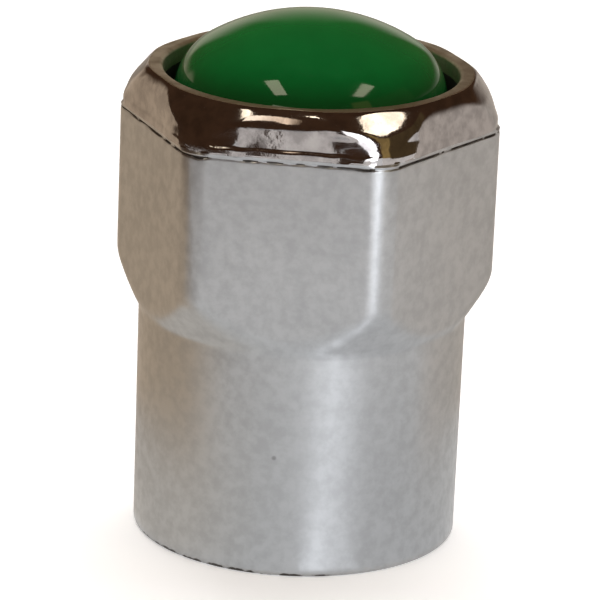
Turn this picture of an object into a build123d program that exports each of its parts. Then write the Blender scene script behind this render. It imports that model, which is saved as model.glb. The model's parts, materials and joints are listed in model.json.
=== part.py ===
from build123d import *
import math
import os

# A tyre valve cap. Millimetres and degrees, axis on Z, mouth rim on z = 0, one hexagon flat facing -Y.

# Bore, from the mouth upwards
thread_root_dia = 7.9  # root of the inside thread, for a valve stem of about 7.7
thread_length = 9.0
mouth_relief_step = 0.35  # the plain mouth is this much wider than the thread, on the radius
mouth_relief_depth = 1.0
lead_in_height = 0.35  # chamfer from the plain mouth to the thread
seal_shoulder = 0.35  # the seal's pocket is this much narrower than the thread, on the radius
seal_pocket_depth = 1.25
web_thickness = 1.5  # floor between the seal's pocket and the dome's recess

# Round skirt
rim_width = 0.95  # flat ring that the cap stands on
rim_edge_radius = 0.12
skirt_height = 7.45
skirt_draft = 0.3

# Hexagon
hex_sides = 6
flat_step = 0.125  # the flats stand this far proud of the top of the skirt
hex_corner_radius = 1.03
hex_draft = 0.1
corner_cone_angle = 31.0  # cone that runs the corners out to the skirt, from the axis

# Polished crown above the mould's parting line
crown_height = 1.66
crown_draft = 1.0
crown_band = 0.33  # strip above the parting line that is as wide as the body
crown_step = 0.05  # the polished flats are set back this far from the strip
shoulder_height = 0.81  # from the parting line to where the corners are trimmed
shoulder_margin = 0.02  # the trimming form is this much wider than the corners
shoulder_roll_radius = 1.24
crown_flank_angle = 44.0  # turned flank from the shoulder to the lip, from the axis
crest_roll_radius = 0.15
lip_wall = 0.64  # wall between a polished flat and the recess
lip_edge_radius = 0.15
recess_depth = 2.3

# Domed insert, glued on the floor of the recess
dome_clearance = 0.365
dome_height = 1.75  # from the lip to the top of the dome
dome_bulge_radius = 6.57
dome_shoulder_radius = 2.0
dome_foot_chamfer = 0.2

# Rubber seal, pressed against the blind end of the bore
seal_thickness = 1.15
seal_hole_dia = 3.6
seal_clearance = 0.05

# Levels along the axis
thread_start = mouth_relief_depth + lead_in_height
thread_end = thread_start + thread_length
bore_end = thread_end + seal_pocket_depth
recess_floor = bore_end + web_thickness
lip_level = recess_floor + recess_depth
parting_level = lip_level - crown_height
dome_top_level = lip_level + dome_height

# Radii, from the thread outwards
thread_radius = thread_root_dia / 2
relief_radius = thread_radius + mouth_relief_step
pocket_radius = thread_radius - seal_shoulder
mouth_radius = relief_radius + rim_width
skirt_top_radius = mouth_radius + skirt_height * math.tan(math.radians(skirt_draft))
hex_foot_apothem = skirt_top_radius + flat_step
hex_height = parting_level - skirt_height
hex_apothem = hex_foot_apothem + hex_height * math.tan(math.radians(hex_draft))
crown_apothem = hex_apothem - crown_step
recess_radius = crown_apothem - lip_wall
dome_radius = recess_radius - dome_clearance
seal_radius = pocket_radius - seal_clearance


def corner_reach(apothem):
    """Distance from the axis to the tip of a rounded hexagon corner."""
    half_side_angle = math.pi / hex_sides
    return (apothem - hex_corner_radius) / math.cos(half_side_angle) + hex_corner_radius


def drafted_hexagon(apothem, foot, height, draft_angle):
    """Rounded hexagon prism, true to size at the parting line and smaller away from it."""
    hexagon = RegularPolygon(apothem, hex_sides, major_radius=False)
    outline = fillet(hexagon.vertices(), hex_corner_radius)
    prism = extrude(Plane.XY.offset(foot) * outline, height)
    sides = prism.faces().filter_by(Plane.XY, reverse=True)
    return draft(sides, Plane.XY.offset(parting_level), draft_angle)


def turned(*edges):
    """Solid of revolution about Z from edges that close a profile in the XZ plane."""
    return revolve(make_face(Curve() + list(edges)), Axis.Z)


def turned_outline(*points):
    """Solid of revolution about Z from (radius, level) points."""
    return turned(*Polyline(*[(r, 0, z) for r, z in points], close=True).edges())


def turned_frustum(foot_radius, foot_level, top_radius, top_level):
    foot = (foot_radius, foot_level)
    top = (top_radius, top_level)
    return turned_outline((0, foot_level), foot, top, (0, top_level))


def skirt():
    frustum = turned_frustum(mouth_radius, 0, skirt_top_radius, skirt_height)
    rim = frustum.edges().filter_by(GeomType.CIRCLE).sort_by(Axis.Z)[0]
    return fillet(rim, rim_edge_radius)


def hexagon_body():
    """Hexagon whose corners a cone runs out to the top of the skirt."""
    prism = drafted_hexagon(hex_apothem, skirt_height, hex_height, -hex_draft)
    cone_radius = skirt_top_radius + hex_height * math.tan(math.radians(corner_cone_angle))
    return prism & turned_frustum(skirt_top_radius, skirt_height, cone_radius, parting_level)


def crown_flank():
    """Turned form that trims the crown: upright, then rolled over to a slope up to the lip."""
    shoulder_radius = corner_reach(crown_apothem) + shoulder_margin
    shoulder_level = parting_level + shoulder_height
    lean = math.tan(math.radians(crown_flank_angle))
    crest_radius = shoulder_radius - (lip_level - shoulder_level) * lean
    form = turned_outline(
        (0, parting_level),
        (shoulder_radius, parting_level),
        (shoulder_radius, shoulder_level),
        (crest_radius, lip_level),
        (0, lip_level),
    )
    shoulder = form.edges().filter_by(GeomType.CIRCLE).sort_by(Axis.Z)[-2]
    rolled = fillet(shoulder, shoulder_roll_radius)
    crest = rolled.edges().filter_by(GeomType.CIRCLE).sort_by(Axis.Z)[-1]
    return fillet(crest, crest_roll_radius)


def crown():
    """Plain strip on the parting line and the trimmed hexagon that stands on it."""
    strip = drafted_hexagon(hex_apothem, parting_level, crown_band, crown_draft)
    prism = drafted_hexagon(crown_apothem, parting_level, crown_height, crown_draft)
    return strip + (prism & crown_flank())


def bore():
    return turned_outline(
        (0, 0),
        (relief_radius, 0),
        (relief_radius, mouth_relief_depth),
        (thread_radius, thread_start),
        (thread_radius, thread_end),
        (pocket_radius, thread_end),
        (pocket_radius, bore_end),
        (0, bore_end),
    )


def recess():
    return turned_frustum(recess_radius, recess_floor, recess_radius, lip_level)


def cap_shell():
    body = skirt() + hexagon_body() + crown() - bore() - recess()
    lip_edges = body.edges().filter_by(GeomType.CIRCLE).group_by(Axis.Z)[-1]
    return fillet(lip_edges.sort_by(SortBy.RADIUS)[0], lip_edge_radius)


def profile_arc(centre_radius, centre_level, radius, start, end):
    """Arc in the XZ plane, between two angles in radians from +X."""
    angles = (start, (start + end) / 2, end)
    centre = Vector(centre_radius, 0, centre_level)
    return ThreePointArc(*[centre + Vector(math.cos(a), 0, math.sin(a)) * radius for a in angles])


def dome_insert():
    """Button with an upright wall that rolls over into a shallow dome."""
    foot_radius = dome_radius - dome_foot_chamfer
    foot_level = recess_floor + dome_foot_chamfer
    roll_radius = dome_radius - dome_shoulder_radius
    bulge_level = dome_top_level - dome_bulge_radius
    centre_gap = dome_bulge_radius - dome_shoulder_radius
    meeting = math.acos(roll_radius / centre_gap)
    roll_level = bulge_level + centre_gap * math.sin(meeting)
    side = Polyline(
        (0, 0, dome_top_level),
        (0, 0, recess_floor),
        (foot_radius, 0, recess_floor),
        (dome_radius, 0, foot_level),
        (dome_radius, 0, roll_level),
    )
    roll = profile_arc(roll_radius, roll_level, dome_shoulder_radius, 0, meeting)
    bulge = profile_arc(0, bulge_level, dome_bulge_radius, meeting, math.pi / 2)
    return turned(*side.edges(), roll, bulge)


def seal_washer():
    hole_radius = seal_hole_dia / 2
    seal_foot = bore_end - seal_thickness
    return turned_outline(
        (hole_radius, seal_foot),
        (seal_radius, seal_foot),
        (seal_radius, bore_end),
        (hole_radius, bore_end),
    )


os.makedirs("parts", exist_ok=True)
for node in (cap_shell, dome_insert, seal_washer):
    export_step(node(), f"parts/{node.__name__}.step")
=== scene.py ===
import json
import math

import bmesh
import bpy
import numpy as np
from mathutils import Matrix, Vector


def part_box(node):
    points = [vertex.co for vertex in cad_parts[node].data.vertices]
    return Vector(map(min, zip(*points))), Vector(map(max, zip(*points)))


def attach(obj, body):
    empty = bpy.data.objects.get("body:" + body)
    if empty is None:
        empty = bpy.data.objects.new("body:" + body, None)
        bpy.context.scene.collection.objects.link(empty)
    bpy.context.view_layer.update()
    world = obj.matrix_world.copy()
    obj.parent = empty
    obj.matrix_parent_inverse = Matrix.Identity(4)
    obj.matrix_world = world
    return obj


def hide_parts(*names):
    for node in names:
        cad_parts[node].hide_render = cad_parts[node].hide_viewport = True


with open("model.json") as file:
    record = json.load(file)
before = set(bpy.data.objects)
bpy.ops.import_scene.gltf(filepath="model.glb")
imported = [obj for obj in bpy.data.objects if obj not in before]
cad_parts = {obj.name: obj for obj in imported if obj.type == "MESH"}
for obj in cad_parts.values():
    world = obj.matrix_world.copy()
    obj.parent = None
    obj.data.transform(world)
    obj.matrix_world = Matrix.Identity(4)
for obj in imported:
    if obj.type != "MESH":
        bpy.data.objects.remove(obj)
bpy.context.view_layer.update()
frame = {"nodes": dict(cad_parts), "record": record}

print("frame loaded:", sorted(frame["nodes"]))

mm = 0.001  # meshes are worked out in millimetres and written in metres
quarterTurn = 90.0
fullTurn = 2 * math.pi
onAxis = 1e-6  # a profile point nearer than this lies on the axis


# sizes that the frame gives, in millimetres
def boxInMm(node):
    low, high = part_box(node)
    return low / mm, high / mm


shellHigh = boxInMm("cap_shell")[1]
domeLow, domeHigh = boxInMm("dome_insert")
sealLow, sealHigh = boxInMm("seal_washer")
threadMount = next(m for m in frame["record"]["mounts"] if m["name"] == "valve_thread")
threadRadius = threadMount["dims"]["r_mm"]
threadLength = threadMount["dims"]["length_mm"]
threadStart = threadMount["pos_m"][2] / mm - threadLength / 2
threadEnd = threadStart + threadLength
lipLevel = shellHigh.z
boreEnd = sealHigh.z
recessFloor = domeLow.z


# small helpers for profiles, in (radius, level) pairs
def tangent(degrees):
    return math.tan(math.radians(degrees))


def softMin(a, b, blend):
    near = np.maximum(blend - np.abs(a - b), 0) / blend
    return np.minimum(a, b) - near * near * blend / 4


def softMax(a, b, blend):
    return -softMin(-a, -b, blend)


def smoothStep(value, start, end):
    share = np.clip((value - start) / (end - start), 0, 1)
    return share * share * (3 - 2 * share)


def arcPoints(centre, radius, startAngle, endAngle, steps):
    angles = np.radians(np.linspace(startAngle, endAngle, steps + 1))
    return [(centre[0] + radius * math.cos(a), centre[1] + radius * math.sin(a)) for a in angles]


def linePoints(start, end, steps):
    return [tuple(p) for p in np.linspace(start, end, steps + 1)]


def joined(*runs):  # one profile from runs that share their end points
    points = list(runs[0])
    for run in runs[1:]:
        points += list(run)[1:]
    return points


def aimedAt(azimuth, elevation):  # unit vector; azimuth 0 is the side of the front flat
    a = math.radians(azimuth)
    e = math.radians(elevation)
    return Vector((math.sin(a) * math.cos(e), -math.cos(a) * math.cos(e), math.sin(e)))


# meshes from rings of equal length
def ringFaces(first, count, rows):
    faces = []
    for row in range(rows - 1):
        a = first + row * count
        b = a + count
        for i in range(count):
            j = (i + 1) % count
            faces.append((a + i, a + j, b + j, b + i))
    return faces


def capFaces(ring, count, tip):
    return [(ring + i, ring + (i + 1) % count, tip) for i in range(count)]


def meshPiece(name, points, faces, slots, materials, sharpAngle):
    mesh = bpy.data.meshes.new(name)
    mesh.from_pydata([tuple(p) for p in np.asarray(points) * mm], [], faces)
    mesh.polygons.foreach_set("material_index", slots)
    work = bmesh.new()
    work.from_mesh(mesh)
    bmesh.ops.recalc_face_normals(work, faces=work.faces)
    work.to_mesh(mesh)
    work.free()
    mesh.shade_smooth()
    mesh.set_sharp_from_angle(angle=math.radians(sharpAngle))
    for material in materials:
        mesh.materials.append(material)
    piece = bpy.data.objects.new(name, mesh)
    bpy.context.scene.collection.objects.link(piece)
    print("made", name, "faces", len(faces))
    return piece


def turnedPiece(name, profile, steps, material, sharpAngle):
    angles = np.linspace(0, fullTurn, steps, endpoint=False)
    rings = [(r, z) for r, z in profile if r > onAxis]
    points = [(r * math.cos(a), r * math.sin(a), z) for r, z in rings for a in angles]
    faces = ringFaces(0, steps, len(rings))
    last = (len(rings) - 1) * steps
    if profile[0][0] <= onAxis:  # a solid form, closed on the axis at both ends
        faces += capFaces(0, steps, len(points))
        faces += capFaces(last, steps, len(points) + 1)
        points += [(0, 0, profile[0][1]), (0, 0, profile[-1][1])]
    else:  # a hollow form, closed from its last ring to its first
        faces += [(last + i, last + (i + 1) % steps, (i + 1) % steps, i) for i in range(steps)]
    return meshPiece(name, points, faces, [0] * len(faces), [material], sharpAngle)


# node helpers
def addNode(tree, kind, inputs=None, **settings):
    node = tree.nodes.new(kind)
    for key, value in settings.items():
        setattr(node, key, value)
    for key, value in (inputs or {}).items():
        node.inputs[key].default_value = value
    return node


def remapped(tree, value, low, high, toLow, toHigh):
    node = addNode(tree, "ShaderNodeMapRange", interpolation_type="SMOOTHSTEP")
    tree.links.new(value, node.inputs["Value"])
    numbers = {"From Min": low, "From Max": high, "To Min": toLow, "To Max": toHigh}
    for key, number in numbers.items():
        node.inputs[key].default_value = number
    return node.outputs["Result"]


def mixedColour(tree, factor, first, second):
    node = addNode(tree, "ShaderNodeMix", data_type="RGBA")
    tree.links.new(factor, node.inputs[0])
    for socket, colour in ((node.inputs[6], first), (node.inputs[7], second)):  # its colours
        if isinstance(colour, tuple):
            socket.default_value = (*colour, 1)
        else:
            tree.links.new(colour, socket)
    return node.outputs[2]


def mixedShader(tree, factor, first, second):
    node = addNode(tree, "ShaderNodeMixShader")
    for socket, output in zip(node.inputs, (factor, first, second)):
        tree.links.new(output, socket)
    return node.outputs[0]


def combined(tree, operation, first, second):
    node = addNode(tree, "ShaderNodeMath", operation=operation)
    for socket, value in ((node.inputs[0], first), (node.inputs[1], second)):
        if isinstance(value, (int, float)):
            socket.default_value = value
        else:
            tree.links.new(value, socket)
    return node.outputs[0]


def newMaterial(name, constants):
    material = bpy.data.materials.new(name)
    material.use_nodes = True
    tree = material.node_tree
    shader = tree.nodes["Principled BSDF"]
    for key, value in constants.items():
        shader.inputs[key].default_value = value
    coordinates = addNode(tree, "ShaderNodeTexCoord").outputs["Object"]
    return material, tree, shader, coordinates


# two shared effects, each a noise with a scale of its own in every material
patchNoise = {"scale": 1000.0, "detail": 4.0, "roughness": 0.6, "low": 0.3, "high": 0.7}
grainNoise = {"scale": 9000.0, "detail": 6.0, "roughness": 0.65}


def noiseGroup(name, label, look):
    group = bpy.data.node_groups.new(name, "ShaderNodeTree")
    group.interface.new_socket("Vector", in_out="INPUT", socket_type="NodeSocketVector")
    scale = group.interface.new_socket("Scale", in_out="INPUT", socket_type="NodeSocketFloat")
    scale.default_value = look["scale"]
    group.interface.new_socket(label, in_out="OUTPUT", socket_type="NodeSocketFloat")
    into = addNode(group, "NodeGroupInput")
    out = addNode(group, "NodeGroupOutput")
    settings = {"Detail": look["detail"], "Roughness": look["roughness"]}
    noise = addNode(group, "ShaderNodeTexNoise", settings)
    for key in ("Vector", "Scale"):
        group.links.new(into.outputs[key], noise.inputs[key])
    return group, noise.outputs["Fac"], out.inputs[label]


def buildPatchGroup():  # soft patches a fraction of a millimetre across, as on dull plating
    group, noise, out = noiseGroup("softPatches", "Patch", patchNoise)
    group.links.new(remapped(group, noise, patchNoise["low"], patchNoise["high"], 0.0, 1.0), out)
    return group


def buildGrainGroup():  # tooth of a blasted mould, left in the skin of the moulding
    group, noise, out = noiseGroup("mouldGrain", "Height", grainNoise)
    group.links.new(noise, out)
    return group


patchGroup = buildPatchGroup()
grainGroup = buildGrainGroup()
print("shared effects ready")


def placeGroup(tree, group, coordinates, scale):
    node = addNode(tree, "ShaderNodeGroup", {"Scale": scale}, node_tree=group)
    tree.links.new(coordinates, node.inputs["Vector"])
    return node.outputs[0]


def tint(tree, shader, mask, first, second):
    tree.links.new(mixedColour(tree, mask, first, second), shader.inputs["Base Color"])


def roughen(tree, shader, mask, start, end, low=0.0):
    tree.links.new(remapped(tree, mask, low, 1.0, start, end), shader.inputs["Roughness"])


def addBump(tree, shader, heights, strength, distance):
    bump = addNode(tree, "ShaderNodeBump", {"Strength": strength, "Distance": distance})
    tree.links.new(heights, bump.inputs["Height"])
    tree.links.new(bump.outputs["Normal"], shader.inputs["Normal"])


# satin plating of the skirt and the hexagon, in metres
satinLook = {
    "pale": (0.42, 0.43, 0.44),
    "dull": (0.352, 0.36, 0.368),
    "bareAndShaded": (0.05, 0.043, 0.039),  # plating gone from the foot of the rim, with painted contact shade there
    "roughLow": 0.31,
    "roughHigh": 0.39,
    "patchScale": 2600.0,
    "cloudScale": 420.0,
    "cloudShare": 0.25,
    "grainScale": 7000.0,
    "grainStrength": 0.5,
    "grainDepth": 4e-6,
    "wearAndShadeAzimuth": -36.0,  # side of the rim that is worn and shaded most
    "wearAndShadeLevels": (0.00002, 0.00018),  # full below the first, none above the second
    "wearAndShadeReach": (0.002, 0.0052),  # how far to that side the wear and painted shade start and are full
    "wearAndShadeLeast": 0.12,  # share of it on the far side
    "wearAndShadeEdge": (0.1, 0.28),  # softness of the chipped edge
    "wearAndShadeScale": 2400.0,
    "dotAzimuth": -0.9,  # one small dark dot on the skirt
    "dotLevel": 0.004,
    "dotEdge": (0.000035, 0.000105),  # radii where it starts to fade and is gone
    "dotStrength": 0.4,
}


def wornAndShadedFoot(tree, coordinates):  # 1 where the plating is gone and contact shade is painted
    look = satinLook
    split = addNode(tree, "ShaderNodeSeparateXYZ")
    tree.links.new(coordinates, split.inputs[0])
    worst = {1: aimedAt(look["wearAndShadeAzimuth"], 0)}
    side = addNode(tree, "ShaderNodeVectorMath", worst, operation="DOT_PRODUCT")
    tree.links.new(coordinates, side.inputs[0])
    low = remapped(tree, split.outputs["Z"], *look["wearAndShadeLevels"], 1.0, 0.0)
    near = remapped(tree, side.outputs["Value"], *look["wearAndShadeReach"], look["wearAndShadeLeast"], 1.0)
    chips = placeGroup(tree, patchGroup, coordinates, look["wearAndShadeScale"])
    share = combined(tree, "MULTIPLY", combined(tree, "MULTIPLY", low, near), chips)
    return remapped(tree, share, *look["wearAndShadeEdge"], 0.0, 1.0)


def skirtDot(tree, coordinates):
    look = satinLook
    place = aimedAt(look["dotAzimuth"], 0) * shell["mouthRadius"] * mm
    place.z = look["dotLevel"]
    gap = addNode(tree, "ShaderNodeVectorMath", {1: place}, operation="DISTANCE")
    tree.links.new(coordinates, gap.inputs[0])
    return remapped(tree, gap.outputs["Value"], *look["dotEdge"], look["dotStrength"], 0.0)


def buildSatinChrome():
    look = satinLook
    material, tree, shader, coordinates = newMaterial("satinChrome", {})
    patch = placeGroup(tree, patchGroup, coordinates, look["patchScale"])
    cloud = placeGroup(tree, patchGroup, coordinates, look["cloudScale"])
    patch = combined(tree, "MULTIPLY", patch, 1 - look["cloudShare"])
    both = combined(tree, "ADD", patch, combined(tree, "MULTIPLY", cloud, look["cloudShare"]))
    # painted contact shade and worn plating at the foot of the rim
    wornAndShaded = wornAndShadedFoot(tree, coordinates)
    marked = combined(tree, "MAXIMUM", wornAndShaded, skirtDot(tree, coordinates))
    tint(tree, shader, marked, mixedColour(tree, both, look["dull"], look["pale"]), look["bareAndShaded"])
    roughen(tree, shader, both, look["roughHigh"], look["roughLow"])
    tree.links.new(remapped(tree, wornAndShaded, 0.0, 1.0, 1.0, 0.0), shader.inputs["Metallic"])
    grain = placeGroup(tree, grainGroup, coordinates, look["grainScale"])
    addBump(tree, shader, grain, look["grainStrength"], look["grainDepth"])
    return material


polishLook = {
    "pale": (0.378, 0.362, 0.36),
    "dull": (0.255, 0.242, 0.242),
    "roughLow": 0.07,
    "roughHigh": 0.12,
    "patchScale": 2000.0,
    "waveScale": 900.0,
    "waveStrength": 0.3,
    "waveDepth": 1.2e-5,
}

lipLook = {
    "pale": (0.66, 0.62, 0.5),
    "dull": (0.5, 0.46, 0.36),
    "roughLow": 0.45,
    "roughHigh": 0.6,
    "patchScale": 1600.0,
}

boreLook = {
    "pale": (0.36, 0.35, 0.34),
    "dull": (0.24, 0.23, 0.22),
    "roughLow": 0.28,
    "roughHigh": 0.45,
    "patchScale": 800.0,
}


def mottledChrome(name, look):  # plating whose pale patches are also the smoother ones
    material, tree, shader, coordinates = newMaterial(name, {"Metallic": 1.0})
    patch = placeGroup(tree, patchGroup, coordinates, look["patchScale"])
    tint(tree, shader, patch, look["dull"], look["pale"])
    roughen(tree, shader, patch, look["roughHigh"], look["roughLow"])
    if "waveScale" in look:
        waves = placeGroup(tree, patchGroup, coordinates, look["waveScale"])
        addBump(tree, shader, waves, look["waveStrength"], look["waveDepth"])
    return material


def buildPolishedChrome():
    return mottledChrome("polishedChrome", polishLook)


def buildRubbedLip():
    return mottledChrome("rubbedLip", lipLook)


def buildBoreChrome():
    return mottledChrome("boreChrome", boreLook)


# dark fill of the parting groove: dirt, with painted crease shade where the groove is open
grooveLook = {
    "dirtAndShade": (0.03, 0.024, 0.02),
    "wornAndShaded": (0.12, 0.105, 0.095),
    "metallic": 0.6,
    "roughness": 0.6,
    "patchScale": 2200.0,
}


def buildGrooveDirtAndShade():
    look = grooveLook
    constants = {"Metallic": look["metallic"], "Roughness": look["roughness"]}
    material, tree, shader, coordinates = newMaterial("partingDirtAndShade", constants)
    patch = placeGroup(tree, patchGroup, coordinates, look["patchScale"])
    tint(tree, shader, patch, look["dirtAndShade"], look["wornAndShaded"])
    return material


# painted shade: the recess wall and floor, which lie in shadow, are painted near black with faint dust
shadeLook = {
    "black": (0.006, 0.006, 0.005),
    "dust": (0.014, 0.013, 0.012),
    "roughness": 0.85,
    "dustScale": 900.0,
}


def buildRecessShade():
    look = shadeLook
    constants = {"Roughness": look["roughness"]}
    material, tree, shader, coordinates = newMaterial("recessShade", constants)
    dust = placeGroup(tree, patchGroup, coordinates, look["dustScale"])
    tint(tree, shader, dust, look["black"], look["dust"])
    return material


shellFinishes = {  # material slots of the shell, in their order
    "satin": buildSatinChrome,
    "polish": buildPolishedChrome,
    "dirtAndShade": buildGrooveDirtAndShade,
    "bore": buildBoreChrome,
    "shade": buildRecessShade,
    "rubbed": buildRubbedLip,
}
slotOf = {finish: slot for slot, finish in enumerate(shellFinishes)}

# the chrome shell: skirt, hexagon, crown, recess and threaded bore in one closed mesh
shell = {
    "mouthRadius": 5.25,
    "rimEdge": 0.12,
    "skirtHeight": 7.45,
    "skirtTopRadius": 5.289,
    "hexDraft": 0.1,
    "coneAngle": 31.0,
    "coneBlend": 0.09,  # softness where the cone leaves the skirt
    "cornerBlend": 0.22,  # softness of the edges that the cone cuts
    "crownHeight": 1.66,
    "crownDraft": 1.0,
    "crownBand": 0.33,
    "crownStep": 0.05,
    "crownRamp": 0.1,  # height of the slope from the band to the polished flats
    "ledgeWander": 0.012,  # unevenness of that slope
    "ledgeWaves": range(4, 50),
    "ledgeSeed": 14,
    "ledgeAside": 0.35,  # share of the set-back that shows on the other flats
    "ledgeFade": (24.0, 34.0),  # azimuths between which it falls to that share
    "shoulderHeight": 0.81,
    "shoulderMargin": -0.02,
    "shoulderRoll": 1.24,
    "flankAngle": 42.0,
    "flankSides": 12,  # the turned flank tends a little to this many sides
    "flatFacets": 0.0064,  # how far it does over the flats
    "cornerFacets": 0.0115,  # and at the corners
    "facetFade": (8.0, 18.0),  # degrees from the middle of a flat between the two
    "crestRoll": 0.3,
    "rubbedShare": 0.4,  # top of the crest that is rubbed dull
    "flatRoll": 1.05,  # radius that rolls over the top of a polished flat
    "flatRollDrop": 0.72,  # how far below the lip that starts
    "swell": 0.066,  # polish has left the flank a little fuller right of the front flat
    "swellAzimuth": 18.5,
    "swellSpans": (15.0, 13.0),  # how far that runs to the left and to the right
    "swellRise": (0.8, 1.25),  # heights above the parting line where it starts and is full
    "circleBlend": 0.1,  # softness where the rolled flat meets the turned crest
    "endRollOff": 0.065,  # polish has rounded the ends of the flats
    "rollOffFade": (8.0, 27.0),  # degrees from the middle of a flat
    "rollOffHeight": 0.4,
    "lipEdge": 0.15,
    "recessGap": 0.365,
    "recessInner": 1.0,  # innermost ring of the recess floor
    "reliefStep": 0.35,
    "reliefDepth": 1.0,
    "reliefEdge": 0.1,
    "pocketStep": 0.35,
    "pocketInner": 0.8,  # innermost ring of the blind end
    "sharpAngle": 38.0,
}

shellSteps = {  # fineness of the mesh
    "sector": 72,  # points round a sixth of the outside
    "cornerCrowding": 0.7,  # how far those points crowd to the corners
    "bodySplits": (-0.4, 0.3, 2.2),  # heights from the top of the skirt where the spacing changes
    "body": (12, 15, 36, 10),  # rows between the rim, those heights and the parting line
    "rim": 6,
    "band": 5,
    "shoulder": 34,
    "flank": 8,
    "crest": 8,
    "lipTop": 2,
    "lip": 8,
    "recess": (5, 3),  # its wall and its floor
    "relief": (2, 3, 2),  # edge, wall and lead-in of the plain mouth
    "pocket": (2, 4, 3),  # shoulder, wall and end of the seal's pocket
}

partingLevel = lipLevel - shell["crownHeight"]
recessRadius = domeHigh.x + shell["recessGap"]
hexApothem = shellHigh.y
sixth = math.pi / 3
cornerSecant = 1 / math.cos(sixth / 2)
cornerRadius = (hexApothem * cornerSecant - shellHigh.x) / (cornerSecant - 1)

# the mould's parting line: a fine uneven groove, broken into dashes on the front flat
parting = {
    "dashes": (  # azimuth and half width
        (-12.9, 1.9),
        (-5.0, 2.2),
        (3.6, 1.4),
        (11.6, 2.2),
        (20.5, 4.5),
    ),
    "gaps": ((30.5, 4.5),),  # where the line is closed
    "softEnd": 0.5,  # a dash or gap fades over this share of its half width on each side
    "frontSpan": 25.0,
    "openMean": 0.8,  # how open the line is off the front flat, and how much that varies
    "openSpread": 0.5,
    "openWaves": range(8, 60),
    "openSeed": 12,
    "dirtAndShadeFrom": 0.4,  # the line holds dirt and painted crease shade where it is more open than this
    "dirtAndShadeHeight": 0.03,  # rows this near the line hold it, fewer of them on the front flat
    "frontDirtAndShade": 0.02,
    "shallow": 0.3,  # share of the groove left between the dashes
    "wander": 0.012,
    "wanderWaves": range(5, 40),
    "wanderSeed": 13,
    "nicks": 34,
    "nickWidth": 0.035,
    "nickWidths": (0.4, 1.6),  # shares of that width
    "nickSizes": (0.2, 1.0),
    "nickDrop": 0.05,
    "nickCut": 0.03,
    "nickSeed": 11,
    "rows": (  # height from the line, cut into the wall, how far the row follows a nick
        (-0.18, 0.0, 0.0),
        (-0.11, 0.0, 0.0),
        (-0.075, 0.001, 0.1),
        (-0.05, 0.006, 0.4),
        (-0.028, 0.035, 0.9),
        (-0.01, 0.06, 1.0),
        (0.01, 0.06, 1.0),
        (0.026, 0.035, 0.5),
        (0.045, 0.006, 0.1),
        (0.075, 0.0, 0.0),
    ),
}
partingFoot = partingLevel + parting["rows"][0][0]
partingTop = partingLevel + parting["rows"][-1][0]

thread = {"pitch": 25.4 / 32, "depth": 0.43, "crest": 0.16, "fade": 0.5, "rowsPerTurn": 10}


def outsideAngles():
    steps = shellSteps["sector"]
    t = np.arange(steps) / steps
    part = sixth * (t - shellSteps["cornerCrowding"] * np.sin(fullTurn * t) / fullTurn)
    return np.concatenate([part + sixth * k for k in range(6)])


def angleFromFlat(angles):
    return np.abs(np.mod(angles, sixth) - sixth / 2)


def azimuths(angles):  # degrees from the side of the front flat
    return np.degrees(np.mod(angles + 1.5 * math.pi, fullTurn) - math.pi)


def hexRadius(angles, apothem, corner=cornerRadius):  # hexagon with rounded corners
    fromFlat = angleFromFlat(angles)
    reach = (apothem - corner) * cornerSecant
    fromCorner = sixth / 2 - fromFlat
    chord = np.maximum(corner**2 - (reach * np.sin(fromCorner)) ** 2, 0)
    rounded = reach * np.cos(fromCorner) + np.sqrt(chord)
    straight = apothem / np.cos(fromFlat)
    onFlat = apothem * np.tan(fromFlat) <= (apothem - corner) * math.tan(sixth / 2)
    return np.where(onFlat, straight, rounded)


def nickPattern(angles):
    draw = np.random.default_rng(parting["nickSeed"])
    total = np.zeros_like(angles)
    for _ in range(parting["nicks"]):
        place = draw.uniform(0, fullTurn)
        width = parting["nickWidth"] * draw.uniform(*parting["nickWidths"])
        size = draw.uniform(*parting["nickSizes"]) ** 2
        gap = np.abs(np.mod(angles - place + math.pi, fullTurn) - math.pi)
        total = np.maximum(total, size * np.exp(-((gap / width) ** 2)))
    return total


def wavering(angles, waves, seed):  # smooth uneven line round the cap, about -1 to 1
    draw = np.random.default_rng(seed)
    total = np.zeros_like(angles)
    for count in waves:
        total += draw.normal() * np.cos(count * angles + draw.uniform(0, fullTurn))
    return total / math.sqrt(len(waves))


def lineOpening(angles):  # 1 where the parting line is open and dark
    turns = azimuths(angles)
    soft = parting["softEnd"]
    waves = wavering(angles, parting["openWaves"], parting["openSeed"])
    opening = np.clip(parting["openMean"] + parting["openSpread"] * waves, 0, 1)
    opening[np.abs(turns) < parting["frontSpan"]] = 0
    for place, half in parting["dashes"]:
        opening = np.maximum(opening, np.clip(1 + soft - np.abs(turns - place) / half, 0, 1))
    for place, half in parting["gaps"]:
        opening = np.minimum(opening, np.clip(np.abs(turns - place) / half - soft, 0, 1))
    return opening


def makeRing(angles, radii, levels, slots):  # the slots are those of the strip above
    return [np.broadcast_to(value, angles.shape) for value in (radii, levels, slots)]


def bodyRadius(angles, level):  # skirt, cone and hexagon
    mouth, skirtTop, skirtHeight = shell["mouthRadius"], shell["skirtTopRadius"], shell["skirtHeight"]
    hexagon = hexRadius(angles, hexApothem - (partingLevel - level) * tangent(shell["hexDraft"]))
    skirtLine = mouth + level * ((skirtTop - mouth) / skirtHeight)
    coneLine = skirtTop + (level - skirtHeight) * tangent(shell["coneAngle"])
    turned = softMax(skirtLine, coneLine, shell["coneBlend"])
    return softMin(hexagon, turned, shell["cornerBlend"])


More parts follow.
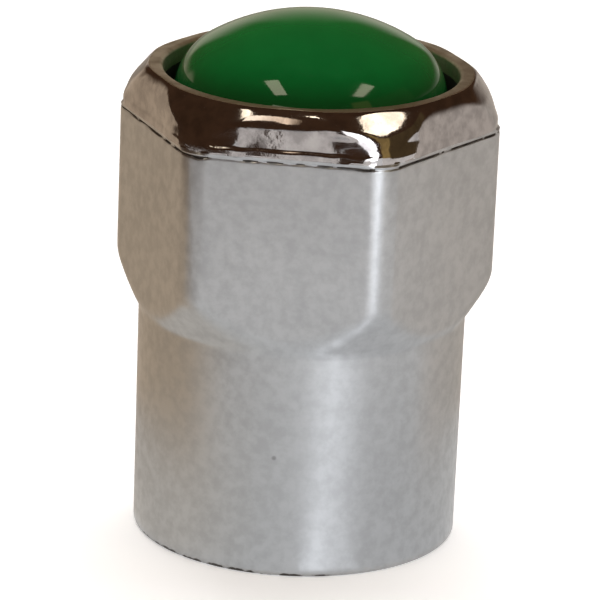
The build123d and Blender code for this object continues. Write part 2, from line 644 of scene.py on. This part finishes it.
def bodyRings(angles):  # from the rim up to the parting line
    edge = shell["rimEdge"]
    rimCentre = shell["mouthRadius"] - edge, edge
    rim = arcPoints(rimCentre, edge, -quarterTurn, 0, shellSteps["rim"])
    rings = [makeRing(angles, radius, level, slotOf["satin"]) for radius, level in rim]
    splits = [shell["skirtHeight"] + height for height in shellSteps["bodySplits"]]
    splits = [edge, *splits, partingFoot]
    runs = [np.linspace(*run) for run in zip(splits, splits[1:], shellSteps["body"])]
    for level in joined(*runs)[1:-1]:
        rings.append(makeRing(angles, bodyRadius(angles, level), level, slotOf["satin"]))
    return rings


def partingRings(angles):
    opening = lineOpening(angles)
    nick = nickPattern(angles) * opening
    wander = wavering(angles, parting["wanderWaves"], parting["wanderSeed"]) * parting["wander"]
    onFront = np.abs(azimuths(angles)) < parting["frontSpan"]
    dirtAndShadeHeight = np.where(onFront, parting["frontDirtAndShade"], parting["dirtAndShadeHeight"])
    openShare = parting["shallow"] + (1 - parting["shallow"]) * opening
    crownLean = tangent(shell["crownDraft"])
    rings = []
    for height, cut, follow in parting["rows"]:
        level = partingLevel + height
        if height < 0:
            radii = bodyRadius(angles, level)
        else:
            radii = hexRadius(angles, hexApothem - height * crownLean)
        dirtyAndShaded = (opening > parting["dirtAndShadeFrom"]) & (abs(height) < dirtAndShadeHeight)
        slots = np.where(dirtyAndShaded, slotOf["dirtAndShade"], slotOf["satin"])
        drop = (nick * parting["nickDrop"] + wander) * follow
        depth = cut * openShare + nick * parting["nickCut"] * follow
        rings.append(makeRing(angles, radii - depth, level - drop, slots))
    return rings


def crownForm(angles):  # gives the function for a ring's radii in the crown
    turns = azimuths(angles)
    fromFlat = np.degrees(angleFromFlat(angles))
    crownLean = tangent(shell["crownDraft"])
    bandTop = partingLevel + shell["crownBand"]
    ledgeWaves = wavering(angles, shell["ledgeWaves"], shell["ledgeSeed"])
    ledgeLevel = bandTop + ledgeWaves * shell["ledgeWander"]
    aside = (1 - shell["ledgeAside"]) * smoothStep(np.abs(turns), *shell["ledgeFade"])
    ledge = shell["crownStep"] * (1 - aside)
    rollOff = shell["endRollOff"] * smoothStep(fromFlat, *shell["rollOffFade"])
    cornerShare = smoothStep(fromFlat, *shell["facetFade"])
    facets = shell["flatFacets"] + (shell["cornerFacets"] - shell["flatFacets"]) * cornerShare
    facets = facets * (1 - np.cos(shell["flankSides"] * angles)) / 2
    beside = turns - shell["swellAzimuth"]
    beside = beside / np.where(beside < 0, *shell["swellSpans"])
    swell = shell["swell"] * np.maximum(1 - beside**2, 0) ** 2

    def crownRadius(reach, level, share=1.0):  # rounded hexagon whose corners grow into a circle
        height = level - partingLevel
        ramp = smoothStep(level, ledgeLevel, ledgeLevel + shell["crownRamp"])
        rounding = rollOff * smoothStep(level, bandTop, bandTop + shell["rollOffHeight"]) * share
        over = max(level - lipLevel + shell["flatRollDrop"], 0)
        flat = hexApothem - height * crownLean
        flat -= shell["flatRoll"] - math.sqrt(shell["flatRoll"] ** 2 - over**2)
        apothem = softMin(flat - ledge * ramp, reach, shell["circleBlend"])
        corner = (apothem * cornerSecant - reach) / (cornerSecant - 1)
        corner = np.clip(corner, cornerRadius, apothem)
        fuller = swell * smoothStep(height, *shell["swellRise"]) * share
        return hexRadius(angles, apothem, corner) * (1 + facets * share) - rounding + fuller

    return crownRadius


def crownArcs():  # turned arcs of the shoulder, the crest and the inner edge of the lip
    flank = shell["flankAngle"]
    roll = shell["shoulderRoll"]
    crestRoll = shell["crestRoll"]
    lip = shell["lipEdge"]
    crownReach = (hexApothem - shell["crownStep"] - cornerRadius) * cornerSecant + cornerRadius
    shoulderRadius = crownReach + shell["shoulderMargin"]
    shoulderLevel = partingLevel + shell["shoulderHeight"]
    crestRadius = shoulderRadius - (lipLevel - shoulderLevel) * tangent(flank)
    rollCentre = shoulderRadius - roll, shoulderLevel - roll * tangent(flank / 2)
    crestCentre = crestRadius - crestRoll * tangent((quarterTurn - flank) / 2), lipLevel - crestRoll
    lipCentre = recessRadius + lip, lipLevel - lip
    return (
        arcPoints(rollCentre, roll, 0, flank, shellSteps["shoulder"]),
        arcPoints(crestCentre, crestRoll, flank, quarterTurn, shellSteps["crest"]),
        arcPoints(lipCentre, lip, quarterTurn, 2 * quarterTurn, shellSteps["lip"]),
    )


def crownRings(angles):  # from the parting line over the lip to the middle of the recess
    crownRadius = crownForm(angles)
    shoulder, crest, lip = crownArcs()
    reach, rollLevel = shoulder[0]
    band = [(reach, level) for level in np.linspace(partingTop, rollLevel, shellSteps["band"])]
    flank = linePoints(shoulder[-1], crest[0], shellSteps["flank"])
    rings = []
    for radius, level in joined(band, shoulder, flank)[1:]:
        rings.append(makeRing(angles, crownRadius(radius, level), level, slotOf["polish"]))
    for index, (radius, level) in enumerate(crest[1:], 1):
        share = 1 - index / (len(crest) - 1)
        slot = slotOf["polish" if share > shell["rubbedShare"] else "rubbed"]
        rings.append(makeRing(angles, crownRadius(radius, level, share), level, slot))
    for radius, level in joined(linePoints(crest[-1], lip[0], shellSteps["lipTop"]), lip)[1:]:
        rings.append(makeRing(angles, radius, level, slotOf["rubbed"]))
    wallRows, floorRows = shellSteps["recess"]
    foot = recessRadius, recessFloor
    recess = joined(
        linePoints(lip[-1], foot, wallRows),
        linePoints(foot, (shell["recessInner"], recessFloor), floorRows),
    )
    for radius, level in recess[1:]:
        rings.append(makeRing(angles, radius, level, slotOf["shade"]))
    return rings


def boreRings(angles):  # from the mouth up to the blind end
    relief = threadRadius + shell["reliefStep"]
    pocket = threadRadius - shell["pocketStep"]
    edge, depth = shell["reliefEdge"], shell["reliefDepth"]
    edgeRows, wallRows, leadRows = shellSteps["relief"]
    mouth = joined(
        linePoints((relief + edge, 0), (relief, edge), edgeRows),
        linePoints((relief, edge), (relief, depth), wallRows),
        linePoints((relief, depth), (threadRadius, threadStart), leadRows),
    )
    rings = [makeRing(angles, radius, level, slotOf["bore"]) for radius, level in mouth]
    rows = round(threadLength / thread["pitch"] * thread["rowsPerTurn"])
    for level in np.linspace(threadStart, threadEnd, rows + 1)[1:]:
        turn = np.mod(level / thread["pitch"] - angles / fullTurn, 1.0)
        height = np.clip((0.5 - np.abs(turn - 0.5)) / (0.5 - thread["crest"] / 2), 0, 1)
        ends = min(level - threadStart, threadEnd - level) / (thread["fade"] * thread["pitch"])
        ridge = thread["depth"] * height * min(1, max(0, ends))
        rings.append(makeRing(angles, threadRadius - ridge, level, slotOf["bore"]))
    shoulderRows, wallRows, endRows = shellSteps["pocket"]
    blindEnd = joined(
        linePoints((threadRadius, threadEnd), (pocket, threadEnd), shoulderRows),
        linePoints((pocket, threadEnd), (pocket, boreEnd), wallRows),
        linePoints((pocket, boreEnd), (shell["pocketInner"], boreEnd), endRows),
    )
    for radius, level in blindEnd[1:]:
        rings.append(makeRing(angles, radius, level, slotOf["bore"]))
    return rings


def ringPoints(angles, rings):
    around = [(radii * np.cos(angles), radii * np.sin(angles), levels) for radii, levels, _ in rings]
    return np.vstack([np.column_stack(ring) for ring in around])


def buildShell():
    outer = outsideAngles()
    ratio = 3  # outside points for each point of the bore
    inner = outer[::ratio]
    outside = bodyRings(outer) + partingRings(outer) + crownRings(outer)
    inside = boreRings(inner)
    tips = [(0, 0, recessFloor), (0, 0, boreEnd)]
    points = np.vstack([ringPoints(outer, outside), ringPoints(inner, inside), tips])
    faces = []
    slots = []
    firstInner = len(outside) * len(outer)
    stacks = (0, len(outer), outside, len(points) - 2), (firstInner, len(inner), inside, len(points) - 1)
    for first, count, rings, tip in stacks:
        faces += ringFaces(first, count, len(rings))
        faces += capFaces(first + (len(rings) - 1) * count, count, tip)
        slots += [int(slot) for _, _, ring in rings for slot in ring]
    for i in range(len(inner)):  # flat ring that the cap stands on
        near = firstInner + i
        far = firstInner + (i + 1) % len(inner)
        a, b, c, d = [(ratio * i + k) % len(outer) for k in range(ratio + 1)]
        faces += [(a, b, near), (b, c, far, near), (c, d, far)]
        slots += [slotOf["satin"]] * ratio
    materials = [build() for build in shellFinishes.values()]
    piece = meshPiece("chromeShell", points, faces, slots, materials, shell["sharpAngle"])
    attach(piece, "root")
    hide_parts("cap_shell")


buildShell()

# the green dome: an upright wall that rolls over into a shallow bulge
dome = {
    "footChamfer": 0.2,
    "rollRadius": 2.0,
    "bulgeRadius": 6.57,
    "steps": 192,
    "footRows": 2,
    "wallRows": 4,
    "rollRows": 26,
    "bulgeRows": 24,
    "sharpAngle": 30.0,
}

domeLook = {
    "deep": (0.0005, 0.107, 0.019),
    "fresh": (0.0008, 0.137, 0.024),
    "refraction": 1.5,
    "cloudScale": 240.0,
    "roughLow": 0.05,
    "roughHigh": 0.1,
    "scuffScale": 1300.0,
    "scuffFrom": 0.2,
}


def buildDomePlastic():
    look = domeLook
    material, tree, shader, coordinates = newMaterial("greenPlastic", {"IOR": look["refraction"]})
    cloud = placeGroup(tree, patchGroup, coordinates, look["cloudScale"])
    tint(tree, shader, cloud, look["deep"], look["fresh"])
    scuffs = placeGroup(tree, patchGroup, coordinates, look["scuffScale"])
    roughen(tree, shader, scuffs, look["roughLow"], look["roughHigh"], look["scuffFrom"])
    return material


def buildDome():
    radius = domeHigh.x
    foot = dome["footChamfer"]
    rollCentre = radius - dome["rollRadius"]
    bulgeLevel = domeHigh.z - dome["bulgeRadius"]
    centreGap = dome["bulgeRadius"] - dome["rollRadius"]
    meeting = math.degrees(math.acos(rollCentre / centreGap))  # where the roll runs into the bulge
    rollLevel = bulgeLevel + math.sqrt(centreGap**2 - rollCentre**2)
    profile = joined(
        [(0, domeLow.z), (radius - foot, domeLow.z)],
        linePoints((radius - foot, domeLow.z), (radius, domeLow.z + foot), dome["footRows"]),
        linePoints((radius, domeLow.z + foot), (radius, rollLevel), dome["wallRows"]),
        arcPoints((rollCentre, rollLevel), dome["rollRadius"], 0, meeting, dome["rollRows"]),
        arcPoints((0, bulgeLevel), dome["bulgeRadius"], meeting, quarterTurn, dome["bulgeRows"]),
    )
    plastic = buildDomePlastic()
    piece = turnedPiece("greenDome", profile, dome["steps"], plastic, dome["sharpAngle"])
    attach(piece, "root")
    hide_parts("dome_insert")


buildDome()

# the rubber seal at the blind end of the bore
seal = {
    "holeRadius": 1.8,
    "edge": 0.12,
    "steps": 120,
    "edgeRows": 5,
    "faceRows": 6,
    "sideRows": 3,
    "sharpAngle": 40.0,
}

sealLook = {
    "black": (0.018, 0.018, 0.018),
    "bloom": (0.045, 0.044, 0.042),
    "roughness": 0.75,
    "bloomScale": 700.0,
    "grainScale": 5200.0,
    "grainStrength": 0.6,
    "grainDepth": 1e-5,
}


def buildSealRubber():
    look = sealLook
    constants = {"Roughness": look["roughness"]}
    material, tree, shader, coordinates = newMaterial("sealRubber", constants)
    bloom = placeGroup(tree, patchGroup, coordinates, look["bloomScale"])
    tint(tree, shader, bloom, look["black"], look["bloom"])
    grain = placeGroup(tree, grainGroup, coordinates, look["grainScale"])
    addBump(tree, shader, grain, look["grainStrength"], look["grainDepth"])
    return material


def buildSeal():
    inner, outer, edge = seal["holeRadius"], sealHigh.x, seal["edge"]
    low, high = sealLow.z, sealHigh.z
    edgeRows, sideRows = seal["edgeRows"], seal["sideRows"]
    profile = joined(
        arcPoints((inner + edge, low + edge), edge, 2 * quarterTurn, 3 * quarterTurn, edgeRows),
        linePoints((inner + edge, low), (outer - edge, low), seal["faceRows"]),
        arcPoints((outer - edge, low + edge), edge, -quarterTurn, 0, edgeRows),
        linePoints((outer, low + edge), (outer, high), sideRows),
        linePoints((outer, high), (inner, high), sideRows),
    )
    rubber = buildSealRubber()
    piece = turnedPiece("rubberSeal", profile, seal["steps"], rubber, seal["sharpAngle"])
    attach(piece, "root")
    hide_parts("seal_washer")


buildSeal()


# helpers for the studio, in metres
def seenMask(tree):  # 1 for rays of the camera, of reflections and through glass
    path = addNode(tree, "ShaderNodeLightPath")
    seen = combined(tree, "MAXIMUM", path.outputs["Is Camera Ray"], path.outputs["Is Glossy Ray"])
    return combined(tree, "MAXIMUM", seen, path.outputs["Is Transmission Ray"])


def stagePiece(name, points, faces, material):
    mesh = bpy.data.meshes.new(name)
    mesh.from_pydata(points, [], faces)
    mesh.shade_smooth()
    mesh.materials.append(material)
    piece = bpy.data.objects.new(name, mesh)
    bpy.context.scene.collection.objects.link(piece)
    return piece


def discRings(radii, levels, steps):
    angles = np.linspace(0, fullTurn, steps, endpoint=False)
    points = [(r * math.cos(a), r * math.sin(a), z) for r, z in zip(radii, levels) for a in angles]
    return points, ringFaces(0, steps, len(radii))


def glowing(name):
    material = bpy.data.materials.new(name)
    material.use_nodes = True
    tree = material.node_tree
    tree.nodes.remove(tree.nodes["Principled BSDF"])
    glow = addNode(tree, "ShaderNodeEmission")
    tree.links.new(glow.outputs[0], tree.nodes["Material Output"].inputs["Surface"])
    return material, tree, glow


def tonedScreen(name, points, tones):  # grid of points with a tone at each, for reflections only
    material, tree, glow = glowing(name)
    tone = addNode(tree, "ShaderNodeAttribute", attribute_name="tone")
    tree.links.new(tone.outputs["Color"], glow.inputs["Color"])
    rows, count = points.shape[:2]
    faces = []
    for row in range(rows - 1):
        a = row * count
        b = a + count
        faces += [(a + i, a + i + 1, b + i + 1, b + i) for i in range(count - 1)]
    piece = stagePiece(name, points.reshape(-1, 3).tolist(), faces, material)
    colours = piece.data.color_attributes.new("tone", "FLOAT_COLOR", "POINT")
    tones = np.broadcast_to(tones, points.shape)
    colours.data.foreach_set("color", np.dstack([tones, np.ones((rows, count))]).ravel())
    piece.visible_camera = False
    piece.visible_diffuse = False
    piece.visible_shadow = False


def aroundAxis(turns, radii, levels):  # grid of points from azimuths, radii and levels
    turns, radii, levels = np.broadcast_arrays(np.radians(turns), radii, levels)
    return np.dstack([np.sin(turns) * radii, -np.cos(turns) * radii, levels])


def stopValues(stops, turns, column):  # a stop's first column is its azimuth
    return np.interp(turns, [stop[0] for stop in stops], [stop[column] for stop in stops])


def stopTones(stops, turns):  # and its last one a tone
    parts = zip(*[stop[-1] for stop in stops])
    return np.column_stack([np.interp(turns, [stop[0] for stop in stops], part) for part in parts])


# pale floor that runs out into white, and a dark brown surround that only reflections see
floor = {
    "colour": (0.8, 0.8, 0.8),
    "roughness": 0.9,
    "lift": 0.5,  # white added where the camera or a reflection looks at it
    "whiteFrom": 0.1,  # distances between which it turns all white
    "whiteAt": 0.3,
    "radii": (0.45, 0.06, 0.0002),
    "level": -0.00001,  # a hair under the rim, so that the two faces don't coincide
    "steps": 96,
}


def buildFloor():
    material, tree, shader, coordinates = newMaterial("paleFloor", {"Roughness": floor["roughness"]})
    shader.inputs["Base Color"].default_value = (*floor["colour"], 1)
    seen = seenMask(tree)
    lift = addNode(tree, "ShaderNodeEmission")
    tree.links.new(combined(tree, "MULTIPLY", seen, floor["lift"]), lift.inputs["Strength"])
    lifted = addNode(tree, "ShaderNodeAddShader")
    tree.links.new(shader.outputs[0], lifted.inputs[0])
    tree.links.new(lift.outputs[0], lifted.inputs[1])
    distance = addNode(tree, "ShaderNodeVectorMath", operation="LENGTH")
    tree.links.new(coordinates, distance.inputs[0])
    away = distance.outputs["Value"]
    far = remapped(tree, away, floor["whiteFrom"], floor["whiteAt"], 0.0, 1.0)
    white = addNode(tree, "ShaderNodeEmission").outputs[0]
    far = combined(tree, "MULTIPLY", far, seen)
    above = mixedShader(tree, far, lifted.outputs[0], white)
    below = addNode(tree, "ShaderNodeBsdfTransparent").outputs[0]  # where it would hide the bore
    backfacing = addNode(tree, "ShaderNodeNewGeometry").outputs["Backfacing"]
    surface = mixedShader(tree, backfacing, above, below)
    tree.links.new(surface, tree.nodes["Material Output"].inputs["Surface"])
    radii = floor["radii"]
    points, faces = discRings(radii, [floor["level"]] * len(radii), floor["steps"])
    stagePiece("floor", points, faces, material)


surround = {
    "glow": (0.086, 0.043, 0.023),
    "radius": 0.5,
    "elevations": (0.0, 89.5),
    "rows": 20,
    "steps": 64,
}


def buildSurround():
    material, tree, glow = glowing("brownSurround")
    glow.inputs["Color"].default_value = (*surround["glow"], 1)
    heights = np.radians(np.linspace(*surround["elevations"], surround["rows"]))
    radii = surround["radius"] * np.cos(heights)
    levels = surround["radius"] * np.sin(heights)
    points, faces = discRings(radii, levels, surround["steps"])
    piece = stagePiece("surround", points, faces, material)
    piece.visible_camera = False


card = {  # curved reflector behind the cap, seen only in its chrome and its gloss
    "radius": 0.014,
    "stops": (  # azimuth, level where the tone ends, how softly it ends, tone
        (87.5, 0.0165, 0.003, (0.92, 0.83, 0.75)),
        (106.0, 0.0165, 0.003, (0.86, 0.77, 0.69)),
        (118.0, 0.016, 0.003, (0.74, 0.67, 0.6)),
        (155.0, 0.016, 0.003, (0.64, 0.56, 0.48)),
        (162.0, 0.0195, 0.005, (0.64, 0.56, 0.48)),
        (172.0, 0.0205, 0.005, (0.64, 0.56, 0.48)),
        (182.0, 0.0225, 0.009, (0.52, 0.45, 0.36)),
        (196.0, 0.0225, 0.009, (0.52, 0.45, 0.36)),
        (206.0, 0.0205, 0.005, (0.7, 0.6, 0.5)),
        (216.0, 0.0205, 0.005, (0.7, 0.6, 0.5)),
        (229.0, 0.0165, 0.003, (0.72, 0.58, 0.45)),
        (244.0, 0.0165, 0.003, (0.7, 0.545, 0.395)),
        (250.0, 0.0178, 0.002, (0.7, 0.545, 0.395)),
        (256.0, 0.0175, 0.002, (0.7, 0.545, 0.395)),
        (262.0, 0.016, 0.0012, (0.7, 0.545, 0.395)),
        (268.0, 0.0125, 0.0012, (0.7, 0.545, 0.395)),
        (275.0, 0.0105, 0.0012, (0.7, 0.545, 0.395)),
        (299.0, 0.0105, 0.0012, (0.7, 0.545, 0.395)),
        (311.0, 0.008, 0.0012, (0.84, 0.74, 0.64)),
        (331.0, 0.005, 0.0012, (0.97, 0.96, 0.95)),
    ),
    "belt": (150.0, 226.0, 0.009, 0.0155),  # dimmer belt behind the dome: azimuths and levels
    "beltEdge": (8.0, 0.001),
    "beltDim": 0.5,
    "columns": 122,
    "rows": 65,
}


def buildCard():
    stops = card["stops"]
    turns = np.linspace(stops[0][0], stops[-1][0], card["columns"])
    tops = stopValues(stops, turns, 1)
    fades = stopValues(stops, turns, 2)
    levels = np.linspace(0, 1, card["rows"])[:, None] * (tops + fades / 2)
    start, end, foot, top = card["belt"]
    side, edge = card["beltEdge"]
    belt = smoothStep(turns, start, start + side) * (1 - smoothStep(turns, end, end + side))
    belt = belt * smoothStep(levels, foot, foot + edge) * (1 - smoothStep(levels, top, top + edge))
    above = smoothStep(levels, tops - fades / 2, tops + fades / 2)[:, :, None]
    lit = stopTones(stops, turns) * (1 - card["beltDim"] * belt)[:, :, None]
    tones = lit * (1 - above) + np.array(surround["glow"]) * above
    tonedScreen("warmCard", aroundAxis(turns, card["radius"], levels), tones)


flags = {  # screens at the sides: start, end, radius, foot, top and tone
    "leftFlag": (-125.0, -13.0, 0.04, 0.0032, 0.016, (0.088, 0.046, 0.026)),
    "middleFlag": (-3.5, 9.5, 0.04, 0.0032, 0.0125, (0.08, 0.042, 0.024)),
    "goldFlag": (43.5, 60.0, 0.04, 0.01, 0.04, (0.56, 0.38, 0.14)),
    "rightFlag": (60.0, 104.0, 0.04, 0.006, 0.04, (0.13, 0.085, 0.04)),
    "stripLamp": (22.7, 36.2, 0.06, 0.0005, 0.04, (6.0, 6.1, 6.3)),
    "stripWing": (9.5, 22.7, 0.06, 0.004, 0.04, (3.6, 3.6, 3.7)),
}
flagColumns = 31


def buildFlags():
    for name, (start, end, radius, foot, top, tone) in flags.items():
        turns = np.linspace(start, end, flagColumns)
        tonedScreen(name, aroundAxis(turns, radius, np.array([[foot], [top]])), tone)


gleam = {  # narrow reflector close in front of the lip
    "radius": 0.0066,
    "stops": (  # azimuth, foot, top and tone
        (-16.0, 0.0157, 0.0165, (3.4, 2.9, 2.3)),
        (-10.0, 0.0156, 0.01643, (3.2, 2.7, 2.1)),
        (-5.0, 0.0157, 0.01643, (2.3, 1.8, 1.35)),
        (-2.0, 0.0154, 0.0163, (2.2, 1.7, 1.25)),
        (0.5, 0.0155, 0.0161, (0.3, 0.2, 0.12)),
    ),
    "columns": 34,
}


def buildGleam():
    stops = gleam["stops"]
    turns = np.linspace(stops[0][0], stops[-1][0], gleam["columns"])
    edges = np.array([stopValues(stops, turns, 1), stopValues(stops, turns, 2)])
    tonedScreen("lipGleam", aroundAxis(turns, gleam["radius"], edges), stopTones(stops, turns))


sheen = {  # painted pool of light on the floor under the strip lamp, a glowing sheet that only reflections see
    "path": (  # radius and azimuth of its left edge
        (0.0055, 9.5),
        (0.007, 11.0),
        (0.0105, 14.5),
        (0.016, 18.0),
        (0.024, 21.0),
        (0.036, 23.7),
        (0.12, 23.7),
    ),
    "bands": (  # degrees from that edge, and tone
        (0.0, 11.3, (1.6, 1.61, 1.65)),
        (11.3, 22.3, (1.25, 1.25, 1.27)),
    ),
    "level": 0.0001,
    "columns": 12,
}


def buildSheen():
    radii, leftEdge = np.array(sheen["path"]).T[:, :, None]
    for start, end, tone in sheen["bands"]:
        turns = leftEdge + np.linspace(start, end, sheen["columns"])
        tonedScreen("floorSheen", aroundAxis(turns, radii, sheen["level"]), tone)


floorShade = {  # painted shade and warm tint of the floor close to the foot of the cap, seen only as the skirt mirrors it
    "near": 0.0054,
    "full": 0.02,  # the tones hold out to here
    "far": 0.03,  # and are white from here
    "level": 0.00005,
    "stops": (  # azimuth and tone
        (-180.0, (0.85, 0.82, 0.78)),
        (-130.0, (0.68, 0.62, 0.56)),
        (-90.0, (0.84, 0.775, 0.7)),
        (-45.0, (0.92, 0.86, 0.79)),
        (-10.0, (0.95, 0.94, 0.93)),
        (20.0, (0.95, 0.94, 0.94)),
        (60.0, (0.9, 0.89, 0.89)),
        (110.0, (0.88, 0.86, 0.84)),
        (180.0, (0.85, 0.82, 0.78)),
    ),
    "columns": 145,
}


def buildFloorShade():
    stops = floorShade["stops"]
    turns = np.linspace(stops[0][0], stops[-1][0], floorShade["columns"])
    tone = stopTones(stops, turns)
    tones = np.array([tone, tone, np.ones_like(tone)])
    radii = np.array([[floorShade[edge]] for edge in ("near", "full", "far")])
    tonedScreen("floorShade", aroundAxis(turns, radii, floorShade["level"]), tones)


worldLight = {"dim": 0.25, "seen": 1.0}  # what lights the cap, and what shows as white


def buildWorld():
    world = bpy.data.worlds.new("studioWorld")
    bpy.context.scene.world = world
    world.use_nodes = True
    tree = world.node_tree
    tree.nodes.remove(tree.nodes["Background"])
    sides = []
    for key in ("dim", "seen"):
        settings = {"Color": (1, 1, 1, 1), "Strength": worldLight[key]}
        sides.append(addNode(tree, "ShaderNodeBackground", settings).outputs[0])
    surface = mixedShader(tree, seenMask(tree), *sides)
    tree.links.new(surface, tree.nodes["World Output"].inputs["Surface"])


lamps = {
    "distance": 0.4,
    "aimLevel": 0.015,
    "panels": {  # corners as azimuth and elevation, and the light from each part of the panel
        "leftLamp": (((-64.1, 59.9), (-58.1, 68.8), (-18.7, 47.7), (-30.5, 43.3)), (4.6, 4.0, 3.1)),
        "rightLamp": (((85.2, 59.6), (87.4, 49.8), (61.1, 40.2), (51.9, 44.9)), (4.6, 4.0, 3.1)),
    },
}


def buildLamps():
    aim = Vector((0, 0, lamps["aimLevel"]))
    for name, (corners, colour) in lamps["panels"].items():
        material, tree, glow = glowing(name)
        brightest = max(colour)
        glow.inputs["Color"].default_value = (*[part / brightest for part in colour], 1)
        glow.inputs["Strength"].default_value = brightest
        points = [aim + aimedAt(*corner) * lamps["distance"] for corner in corners]
        lamp = stagePiece(name, points, [(0, 1, 2, 3)], material)
        lamp.visible_camera = False


fill = {  # broad soft light from above and behind, kept out of the reflections
    "azimuth": 187.0,
    "elevation": 70.0,
    "distance": 0.42,
    "aimLevel": 0.015,
    "size": 0.3,
    "watts": 1.6,
}


def buildFill():
    light = bpy.data.lights.new("softFill", "AREA")
    light.shape = "SQUARE"
    light.size = fill["size"]
    light.energy = fill["watts"]
    lamp = bpy.data.objects.new("softFill", light)
    direction = aimedAt(fill["azimuth"], fill["elevation"])
    place = Vector((0, 0, fill["aimLevel"])) + direction * fill["distance"]
    facing = direction.to_track_quat("Z", "Y").to_matrix().to_4x4()
    lamp.matrix_world = Matrix.Translation(place) @ facing
    bpy.context.scene.collection.objects.link(lamp)
    lamp.visible_camera = False
    lamp.visible_glossy = False


camera = {
    "azimuth": 6.6,
    "elevation": 18.261,
    "distance": 0.154077,
    "aimLevel": 0.007567,
    "sideStep": -0.000069,
    "roll": 2.363,
    "lens": 285.5,
    "sensor": 36.0,
    "near": 0.005,
    "far": 20.0,
}


def buildCamera():
    back = aimedAt(camera["azimuth"], camera["elevation"])
    right = Vector((0, 0, 1)).cross(back).normalized()
    up = back.cross(right)
    roll = math.radians(camera["roll"])
    rolledRight = right * math.cos(roll) + up * math.sin(roll)
    rolledUp = up * math.cos(roll) - right * math.sin(roll)
    aim = Vector((0, 0, camera["aimLevel"])) + rolledRight * camera["sideStep"]
    data = bpy.data.cameras.new("camera")
    data.sensor_width = camera["sensor"]
    data.lens = camera["lens"]
    data.clip_start = camera["near"]
    data.clip_end = camera["far"]
    lens = bpy.data.objects.new("camera", data)
    bpy.context.scene.collection.objects.link(lens)
    turn = Matrix((rolledRight, rolledUp, back)).transposed().to_4x4()
    lens.matrix_world = Matrix.Translation(aim + back * camera["distance"]) @ turn
    bpy.context.scene.camera = lens


buildFloor()
buildSurround()
print("floor and surround ready")
buildCard()
buildFlags()
buildGleam()
buildSheen()
buildFloorShade()
print("reflection screens ready")
buildWorld()
buildLamps()
buildFill()
buildCamera()
bpy.context.scene.view_settings.view_transform = "Standard"
print("light and camera ready")
